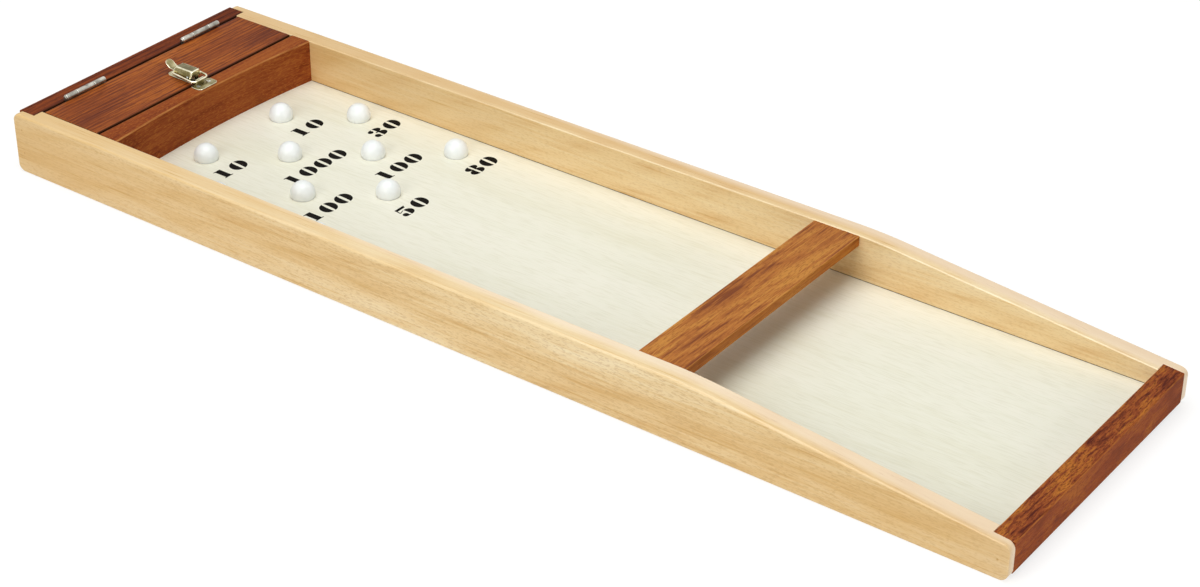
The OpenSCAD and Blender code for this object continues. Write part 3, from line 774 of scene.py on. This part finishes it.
# Across the ends the rails follow the side rails' height, tongue to tongue
near_top = float(rail_top(np.array(NEAR_FACE)))
near_section = [
    (-FAR_Y, RAIL_LOW, 1.0),
    (NEAR_FACE, RAIL_LOW, 0.8),
    (NEAR_FACE, near_top, 0.7),
    (-FAR_Y, PLAYER_H, 0.9),
]
near_bar = crossbar(near_section, TONGUE_X - 0.05, 0.3)
piece("player_rail", [near_bar], near_wood, "board", ["near_rail"])
# Corners marked -1 lie in the narrow joints round the lid and take painted shade
back_section = [
    (BACK_FACE, RAIL_LOW, 0.8),
    (FAR_Y, RAIL_LOW, 1.2),
    (FAR_Y, RAIL_H, 1.5),
    (BACK_FACE + 1.1, RAIL_H, 0, 0),
    (BACK_FACE, RAIL_H, 0.8, -1),
    (BACK_FACE, RAIL_H - 9, 0, -1),
    (BACK_FACE, RAIL_H - 12, 0, 0),
]
back_bar = crossbar(back_section, TONGUE_X - 0.05, 0.3)
piece("rear_rail", [back_bar], back_wood, "board", ["back_rail"])
b0, b1 = BRIDGE_Y - BRIDGE_W / 2, BRIDGE_Y + BRIDGE_W / 2
bridge_section = [
    (b0, BRIDGE_TOP - BRIDGE_T, 0.8),
    (b1, BRIDGE_TOP - BRIDGE_T, 0.8),
    (b1, BRIDGE_TOP, 0.8),
    (b0, BRIDGE_TOP, 0.7),
]
bridge_bar = crossbar(bridge_section, INNER_X, 0.15)
piece("start_bridge", [bridge_bar], bridge_wood, "board", ["bridge"])
# The lid's edges down into the joints are marked -1 for painted shade
lid_section = [
    (LID_FRONT, RAIL_H - LID_T, 0.6),
    (LID_BACK, RAIL_H - LID_T, 0.6),
    (LID_BACK, RAIL_H - LID_T + 1.2, 0, -1),
    (LID_BACK, RAIL_H, 0.8, -1),
    (LID_BACK - 1.1, RAIL_H, 0, 0),
    (LID_FRONT + 1.1, RAIL_H, 0, 0),
    (LID_FRONT, RAIL_H, 0.8, -1),
    (LID_FRONT, RAIL_H - LID_T + 1.2, 0, -1),
]
piece("box_lid", [crossbar(lid_section, LID_X, 0.5)], lid_wood, "lid", ["lid"])


def hollow_front():
    """Outline in plan: straight back and ends, and a front that follows one
    wide arc through both ends and the hollow's depth. The back's two corners
    are marked -1, for painted shade in the joint behind it."""
    radius = (INNER_X**2 + HOLLOW**2) / (2 * HOLLOW)
    half = math.asin(INNER_X / radius)
    a = np.linspace(-half, half, 49)
    arc = np.c_[radius * np.sin(a), FRONT_FACE + HOLLOW - radius + radius * np.cos(a)]
    points = np.concatenate([arc, [(INNER_X, FRONT_BACK), (-INNER_X, FRONT_BACK)]])
    outward = np.concatenate([np.c_[-np.sin(a), -np.cos(a)], [(0, 1), (0, 1)]])
    return points, outward, np.r_[np.zeros(len(arc)), -1, -1]


# The front stands on the bed, and a ledge behind it carries the lid
ledge_back, ledge_top = FRONT_BACK + 6, RAIL_H - LID_T - 0.3
ledge_section = [
    (FRONT_BACK, BED_TOP, 0.3),
    (ledge_back, BED_TOP, 0.3),
    (ledge_back, ledge_top, 0.5),
    (FRONT_BACK, ledge_top, 0.3),
]
front = prism(hollow_front(), BED_TOP, RAIL_H, 0.1, 1.6, "abc", steps=5)
ledge = crossbar(ledge_section, INNER_X, 0.1)
piece("ball_box_front", [front, ledge], front_wood, "board", ["box_front"])
# Parts whose solids already have the right shape only take a finish
for name, material in (
    ("playing_bed", bed_wood),
    ("bridge_dowels", dowel_wood),
    ("box_front_dowels", dowel_wood),
    ("hinge_rail_screws", bright_zinc),
    ("hinge_lid_screws", bright_zinc),
):
    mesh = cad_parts[name].data
    mesh.materials.clear()
    mesh.materials.append(material)
piece("score_numbers", score_numbers(), printing_ink, "board", ())

# ---- balls ----------------------------------------------------------------


def ball(x, y):
    """Sphere from its lowest to its highest point: the radius at each height
    is the sine of the angle, the height its cosine."""
    a = np.linspace(0.02, math.pi - 0.02, 48)
    profile = np.stack([-BALL_R * np.cos(a), BALL_R * np.sin(a)], -1)
    return revolved(profile, (x, y, BALL_Z), (0, 0, 1), turns=64)


for i, (x, y) in enumerate(HOLES, 1):
    piece(f"white_ball_{i}", [ball(x, y)], ball_plastic, f"ball_{i}", [f"ball_{i}"])

# ---- hinges ---------------------------------------------------------------


def knuckle(x0, x1):
    """Rolled knuckle: a ring's section with broken corners turned about the
    pin, from x0 to x1."""
    r, bore, c = BARREL_R, HINGE_PIN_R + 0.05, 0.5
    end = [(0, bore), (0, r - c), (c * 0.3, r - c * 0.3), (c, r), (c + 0.5, r)]
    section = [(x0 + a, b) for a, b in end] + [(x1 - a, b) for a, b in end[::-1]]
    points, faces, _ = revolved(section, (0, HINGE_Y, HINGE_Z), (1, 0, 0), 36, ring=True)
    # The bore and the knuckle's ends are marked for painted shade, the broken corners for a painted
    # highlight
    return points, faces, np.repeat([-1, -0.5, 0.5, 0.5, 0, 0, 0.5, 0.5, -0.5, -1], 36)


def leaf(x, side):
    """Flat leaf in the gap, narrow tongues rising from it into the knuckles:
    two at the ends on the fixed leaf (side 1), one in the middle on the other."""
    thick, clear, low_edge = 1.1, 0.15, 48.2
    y0 = HINGE_Y + clear if side > 0 else HINGE_Y - clear - thick
    far, near = HINGE_L / 2, KNUCKLE_L / 2
    spans = [(clear - near, near - clear)]
    if side > 0:
        spans = [(-far, -near - clear), (near + clear, far)]

    def strip(s0, s1, low, top, slimmer=0.0):
        front, back = y0 + slimmer, y0 + thick - slimmer
        corners = [(front, low), (back, low), (back, top), (front, top)]
        shape = outline([(*c, 0.2) for c in corners], 3)
        points, faces, marks = prism(shape, x + s0, x + s1, 0.1, 0.1, "cab", 2)
        # The whole leaf is marked a little inside: painted shade, as it stands in the gap
        return points, faces, np.full(len(marks), -0.25)

    shells = [strip(-far, far, low_edge, RAIL_H - 0.4)]
    for s0, s1 in spans:
        start = s0 + 0.6 if s0 == -far else s0
        tongue = strip(s0 + 0.05, s1 - 0.05, RAIL_H - 2, HINGE_Z - 1.2, 0.02)
        shells += [tongue, knuckle(x + start, x + s1)]
    return shells


def hinge_pin(x):
    """Pin with an eased round head outside the knuckle on the left and a low
    dome on the right."""
    left_end, right_end = x - HINGE_L / 2 + 0.55, x + HINGE_L / 2
    profile = [(left_end - 1.3, 1.4), (left_end - 1.15, 1.8), (left_end - 0.8, 2.0)]
    profile += [(left_end, 2.0), (left_end, HINGE_PIN_R), (right_end - 0.35, HINGE_PIN_R)]
    profile += [(right_end - 0.12, 1.1), (right_end, 0.7)]
    return revolved(profile, (0, HINGE_Y, HINGE_Z), (1, 0, 0))


for side, name in ((-1, "left"), (1, "right")):
    x = side * HINGE_X
    for part, shells, body, solid in (
        ("fixed_leaf", leaf(x, 1), "board", "rail_leaf"),
        ("moving_leaf", leaf(x, -1), "lid", "lid_leaf"),
        ("centre_pin", [hinge_pin(x)], "board", "pin"),
    ):
        solids = [f"{name}_hinge_{solid}"]
        piece(f"{name}_hinge_{part}", shells, dull_nickel, body, solids)

# ---- latch ----------------------------------------------------------------

# It stands on the lid and the box front, level with the rails' tops; both its
# plates are 1 mm thick
TOP = RAIL_H
PLATE_TOP = TOP + 1


def plate(x, y0, y1, r0, r1):
    """Plan of a plate with its own corner radius at the front and the back."""
    return outline([(-x, y0, r0), (x, y0, r0), (x, y1, r1), (-x, y1, r1)])


base = [prism(plate(6, 413.2, 445.2, 1.5, 5), TOP, PLATE_TOP, 0.1, 0.3, "abc", 3)]
# Ears: one each side of the middle, round over the rivet, marked for painted
# shade under the lever
ear_x, ear_t, ear_r = 4.3, 1.0, 1.9
ear_front, ear_back, ear_top = PIVOT[0] - ear_r, PIVOT[0] + ear_r, PIVOT[1] + ear_r
ear = outline(
    [
        (ear_front, TOP + 0.2, 0.2),
        (ear_back, TOP + 0.2, 0.2),
        (ear_back, ear_top, ear_r - 0.05),
        (ear_front, ear_top, ear_r - 0.05),
    ]
)
for s in (-1, 1):
    x0, x1 = s * ear_x - ear_t / 2, s * ear_x + ear_t / 2
    points, faces, marks = prism(ear, x0, x1, 0.15, 0.15, "cab", 2)
    base.append((points, faces, np.full(len(marks), -0.7)))
piece("latch_base_plate", base, yellow_zinc, "lid", ["latch_base"])


def lever_shell():
    """Pressed lever: rings of a rounded rectangle from the inside of the crown
    down to the rim and up the outside. The half width and the two ends change
    evenly from skirt to crown, and the crown's edge is a quarter circle. In
    front the rim steps up twice, in slots where the ears pass."""
    skirt, crown, wall, slot_top = TOP + 4.6, TOP + 11.8, 1.0, TOP + 7.8
    half, front, back, crown_r = 7.2, 413.4, 437.4, 1.1
    narrower, front_lean, back_lean = 2.3, 0.6, 4.1
    slot = np.array([-5.1, -5.1, -3.5, -3.5, 3.5, 3.5, 5.1, 5.1])
    stepped = np.array([0, 1, 1, 0, 0, 1, 1, 0]) > 0

    def ring(height, inset, rim=False, mark=0.0, drop=0.0):
        f = np.clip((height - skirt) / (crown - skirt), 0, 1)
        x = half - narrower * f - inset
        y0, y1 = front - front_lean * f + inset, back - back_lean * f - inset
        above = height > slot_top + 0.1
        r = max(1.2 - inset, 0.4) if above else min(1.6 - inset, x - 5.12)
        plan, _, round_corner = outline([(-x, y0, r), (x, y0, r), (x, y1, r), (-x, y1, r)])
        low = slot * (x - r) / x if above else slot
        plan = np.concatenate([plan[:9], np.c_[low, np.full(8, y0)], plan[9:]])
        z = np.full(len(plan), height - drop)
        if rim:
            z[9:17] = np.where(stepped, slot_top + 0.05 * (height - skirt), height)
        marks = np.r_[round_corner[:9], np.zeros(8), round_corner[9:]]
        return np.c_[plan, z], np.full(len(z), mark) if mark < 0 else np.maximum(marks, mark)

    # Rings inside the shell are marked -1 for painted shade; the rim and the crown's rounded edge
    # are marked 1 for a painted highlight, and the crown's top -0.35, painted a little darker as a
    # dim painted reflection
    roof = crown - wall
    rings = [ring(roof, wall + 0.6, mark=-1), ring(roof - 0.2, wall + 0.15, mark=-1)]
    rings += [ring(roof - 0.7, wall, mark=-1), ring(slot_top + 0.1, wall, mark=-1)]
    rings += [ring(skirt + 0.3, wall, True, -1), ring(skirt, wall - 0.3, True, 1)]
    rings += [ring(skirt, 0.3, True, 1), ring(skirt + 0.3, 0.0, True, 1)]
    rings += [ring(skirt + 0.9, 0.0, True), ring(slot_top + 0.1, 0.0), ring(crown - crown_r, 0.0)]
    for t in np.linspace(0, math.pi / 2, 6)[1:]:
        mark = 1.0 if t < 1.5 else -0.35
        inset, drop = crown_r * (1 - math.cos(t)), crown_r * (1 - math.sin(t))
        rings.append(ring(crown, inset, False, mark, drop))
    return grid(np.stack([r[0] for r in rings]), np.stack([r[1] for r in rings]))


def thumb_tab():
    """Strip from the back of the shell: level, a bend, then rising to a round
    end. Its section is a flat bar with eased edges, a little dished."""
    rise, bend_r, straight, width = math.radians(38), 2.4, 8.0, 4.4
    level = np.c_[np.linspace(435.0, 440.9, 4), np.full(4, TOP + 6.5)]
    t = np.linspace(0, rise, 7)[1:]
    bend = level[-1] + bend_r * np.c_[np.sin(t), 1 - np.cos(t)]
    s = straight * np.sin(np.linspace(0, math.pi / 2, 14)[1:])[:, None]
    path = np.concatenate([level, bend, bend[-1] + s * [math.cos(rise), math.sin(rise)]])
    length = np.r_[0, np.cumsum(np.linalg.norm(np.diff(path, axis=0), axis=1))]
    gap = width - np.clip(length[-1] - length, 0, width)
    half = np.sqrt(np.maximum(width**2 - gap**2, 0.02))[:, None]
    step = np.gradient(path, axis=0)
    step /= np.linalg.norm(step, axis=1, keepdims=True)
    up = np.stack([-step[:, 1], step[:, 0]], -1)
    side = np.array([-1, -0.95, -0.78, 0, 0.78, 0.95, 1, 1, 0.95, 0.78, 0, -0.78, -0.95, -1])
    high = np.array([0.25, 0.5, 0.42, 0.2, 0.42, 0.5, 0.25])
    high = np.r_[high, high[::-1] - 1.0 + np.array([0.5, 0, 0, 0, 0, 0, 0.5])]
    yz = path[:, None] + up[:, None] * high[None, :, None]
    # Its edges are marked 1 for a painted highlight
    marks = np.tile(np.r_[1, 1, 0, 0, 0, 1, 1, 1, 1, 0, 0, 0, 1, 1.0], (len(path), 1))
    return grid(np.concatenate([(half * side)[..., None], yz], -1), marks)


piece(
    "latch_lever_pressing",
    [lever_shell(), thumb_tab()],
    yellow_zinc,
    "latch_lever",
    ["latch_lever"],
    sharp=50,
)

rivet_x = 7.4
profile = [(-rivet_x - 0.5, 0.5), (-rivet_x - 0.4, 1.1), (-rivet_x, 1.5), (-rivet_x, 1.0)]
profile += [(-a, b) for a, b in profile[::-1]]
piece(
    "latch_lever_rivet",
    [revolved(profile, (0, *PIVOT), (1, 0, 0))],
    bright_zinc,
    "lid",
    ["latch_rivet"],
)


def loop_path():
    """Middle of the loop's wire: in from one side of the lever, forwards,
    across in front of the lip, and back to the other side, all in one plane
    through the pivot and the front bar. Corners are quarter circles."""
    half, back, front, start = 9.4, 2.4, 4.0, 4.9
    length = math.hypot(LOOP_PIVOT[0] - BAR[0], LOOP_PIVOT[1] - BAR[1])
    a = np.linspace(0, math.pi / 2, 9)
    one = [[[start, 0.0], [start + 0.8, 0.0]]]
    one.append(np.c_[half - back + back * np.sin(a), -back + back * np.cos(a)])
    one.append(np.c_[half - front + front * np.cos(a), -length + front - front * np.sin(a)])
    one = np.concatenate(one)
    flat = np.concatenate([one, one[::-1] * [-1, 1]])
    u = np.array([0.0, LOOP_PIVOT[0] - BAR[0], LOOP_PIVOT[1] - BAR[1]]) / length
    return np.array([0.0, *LOOP_PIVOT]) + flat[:, :1] * [1, 0, 0] + flat[:, 1:] * u


wire_r = 0.9
path = loop_path()
# Square to the loop's plane: across the board and along one of its sides
square = np.cross([1.0, 0, 0], path[9] - path[12])
# The wire is marked 0.8 along its length for a painted highlight
piece(
    "latch_wire_loop",
    [wire(path, wire_r, square / np.linalg.norm(square), mark=0.8)],
    yellow_zinc,
    "latch_loop",
    ["latch_loop"],
)
# Strike plate, with the lip upright along its back edge
lip_back, strike_l = LIP_Y + 1, 12.5
lip = outline(
    [
        (LIP_Y, TOP + 0.3, 0.2),
        (lip_back, TOP + 0.3, 0.2),
        (lip_back, TOP + 5.2, 0.45),
        (LIP_Y, TOP + 5.2, 0.45),
    ],
    5,
)
flat = prism(
    plate(12, lip_back - strike_l, lip_back, 4, 3), TOP, PLATE_TOP, 0.1, 0.35, "abc", 3
)
strike = [flat, prism(lip, -5, 5, 0.3, 0.3, "cab", 3)]
piece("latch_strike_plate", strike, yellow_zinc, "board", ["latch_strike"])


def screw_head(x, y, z, length, turn):
    """Countersunk head with a cross recess over its shank: on a grid of rings
    and spokes the face, a low dome, sinks where a spoke lies near either arm
    of the cross."""
    rim, arm_half, arm_l, dome, sunk = 2.05, 0.36, 1.25, 0.18, 0.8
    spokes = np.radians(np.arange(0, 360, 5))[None]
    radii = np.linspace(0.05, rim, 16)[:, None]
    px, py = radii * np.cos(spokes), radii * np.sin(spokes)
    arm = np.minimum(np.abs(px), np.abs(py))
    deep = np.clip((arm_half - arm) / 0.12, 0, 1) * np.clip((arm_l - radii) / 0.15, 0, 1)
    pz = dome * (1 - (radii / rim) ** 2) - sunk * deep
    face = np.stack([px, py, pz], -1)
    under = [(2.1, -0.12), (1.1, -1.2), (1.1, -length + 2), (0.2, -length)]
    circle = np.stack([np.cos(spokes[0]), np.sin(spokes[0]), 0 * spokes[0]], -1)
    points = np.concatenate([face, np.stack([r * circle + [0, 0, h] for r, h in under])])
    c, s = math.cos(turn), math.sin(turn)
    points = points @ np.array([[c, s, 0], [-s, c, 0], [0, 0, 1]])
    return grid(points + [x, y, z])


strike_x, strike_y, base_y, sunk = 6.6, lip_back - 0.4 * strike_l, (423.2, 437.2), 0.1
strike_screws = [
    screw_head(-strike_x, strike_y, PLATE_TOP, 9, 0.3),
    screw_head(strike_x, strike_y, PLATE_TOP, 9, 1.1),
]
base_screws = [
    screw_head(0, y, PLATE_TOP - sunk, 8, turn) for y, turn in zip(base_y, (0.5, 0.9))
]
for name, screws, body, solid in (
    ("strike_plate_screws", strike_screws, "board", "strike_screws"),
    ("latch_base_plate_screws", base_screws, "lid", "latch_base_screws"),
):
    piece(name, screws, bright_zinc, body, [solid], sharp=50)
# Panel pins through the side rails' tongues, with a blob of stopping over each
pin = [(0, 0.5), (0.02, 0.85), (0.3, 0.9), (26, 0.9), (28, 0.2)]
places = ((-491, 16.75), (490.5, 19.95), (490.5, 42.75))
pins = [
    revolved(pin, (s * (SIDE_X + 0.03), y, z), (-s, 0, 0), 20) for s in (-1, 1) for y, z in places
]
piece("sunk_panel_pins", pins, pin_filler, "board", ["end_rail_pins"])

# ---- setting --------------------------------------------------------------

# Camera: its lens, in pixels of the photograph's width, and its place were
# fitted to the board's edges there
photo_width, focal, sensor, distance = 1200, 2553.4, 36.0, 2.1118
target = Vector((-0.0008, -0.0423, 0.0))
azimuth, elevation, roll = math.radians(-53.686), math.radians(31.469), math.radians(0.31)
away = Vector(
    (
        math.sin(azimuth) * math.cos(elevation),
        -math.cos(azimuth) * math.cos(elevation),
        math.sin(elevation),
    )
)
camera_data = bpy.data.cameras.new("camera")
camera_data.sensor_width = sensor
camera_data.lens = focal / photo_width * sensor
camera_data.clip_start, camera_data.clip_end = 0.05, 60.0
camera = bpy.data.objects.new("camera", camera_data)
bpy.context.scene.collection.objects.link(camera)
across = (-away).cross(Vector((0, 0, 1))).normalized()
upward = across.cross(-away)
right = across * math.cos(roll) + upward * math.sin(roll)
upward = -across * math.sin(roll) + upward * math.cos(roll)
camera.matrix_world = Matrix.Translation(target + away * distance) @ Matrix(
    (right, upward, away)
).transposed().to_4x4()
bpy.context.scene.camera = camera


def seen_by_camera(tree):
    """1 on what the camera sees straight, in gloss or through glass, else 0."""
    ray = node(tree, "LightPath").outputs
    seen = ray["Is Camera Ray"]
    for other in ("Is Glossy Ray", "Is Transmission Ray"):
        both = {0: seen, 1: ray[other]}
        seen = node(tree, "Math", both, operation="MAXIMUM").outputs[0]
    return seen


# Floor: a square, a hair below the board's feet
reach, low = 9, -0.0002
corners = [(-reach, -reach, low), (reach, -reach, low), (reach, reach, low), (-reach, reach, low)]
floor_mesh = bpy.data.meshes.new("floor")
floor_mesh.from_pydata(corners, [], [(0, 1, 2, 3)])
floor = bpy.data.objects.new("floor", floor_mesh)
bpy.context.scene.collection.objects.link(floor)
# Matt white paper: seen by the camera half as its own light, so the shadow is
# pale, and by glossy surfaces the same way
paper, tree = bare_material("matt_white_paper")
seen = seen_by_camera(tree)
matt = node(tree, "BsdfDiffuse", {"Color": tone("#F0F0F0")})
part = node(tree, "BsdfDiffuse", {"Color": tone("#999999")})
glow = node(tree, "Emission", {"Color": tone("#FFFFFF"), "Strength": 0.75})
shown = node(tree, "AddShader", {0: part.outputs[0], 1: glow.outputs[0]})
paper_mix = node(tree, "MixShader", {0: seen, 1: matt.outputs[0], 2: shown.outputs[0]})
node(tree, "OutputMaterial", {"Surface": paper_mix.outputs[0]})
floor_mesh.materials.append(paper)

# Studio: white to the camera, a dim soft light to the board
world = bpy.data.worlds.new("studio")
world.use_nodes = True
tree = world.node_tree
tree.nodes.clear()
seen = seen_by_camera(tree)
soft_light = node(tree, "Background", {"Color": tone("#FAFFF0"), "Strength": 0.22})
white = node(tree, "Background", {"Color": tone("#FFFFFF"), "Strength": 1.0})
mix = node(tree, "MixShader", {0: seen, 1: soft_light.outputs[0], 2: white.outputs[0]})
node(tree, "OutputWorld", {"Surface": mix.outputs[0]})
bpy.context.scene.world = world


def softbox(name, place, towards, size, power):
    """Square area light aimed at a point: its side in metres, power in watts."""
    data = bpy.data.lights.new(name, "AREA")
    data.shape, data.size, data.energy = "SQUARE", size, power
    lamp = bpy.data.objects.new(name, data)
    bpy.context.scene.collection.objects.link(lamp)
    lamp.location = place
    lamp.rotation_euler = (Vector(towards) - Vector(place)).to_track_quat("-Z", "Y").to_euler()


softbox("overhead_softbox", (-0.1, 0.12, 2.4), (0, 0, 0), 2.0, 42)
softbox("low_front_softbox", (-0.5, -2.6, 0.5), (0, -0.5, 0), 1.2, 17)
softbox("low_side_softbox", (-2.3, 0.1, 1.25), (0, 0, 0), 1.4, 24)
bpy.context.scene.view_settings.view_transform = "Standard"
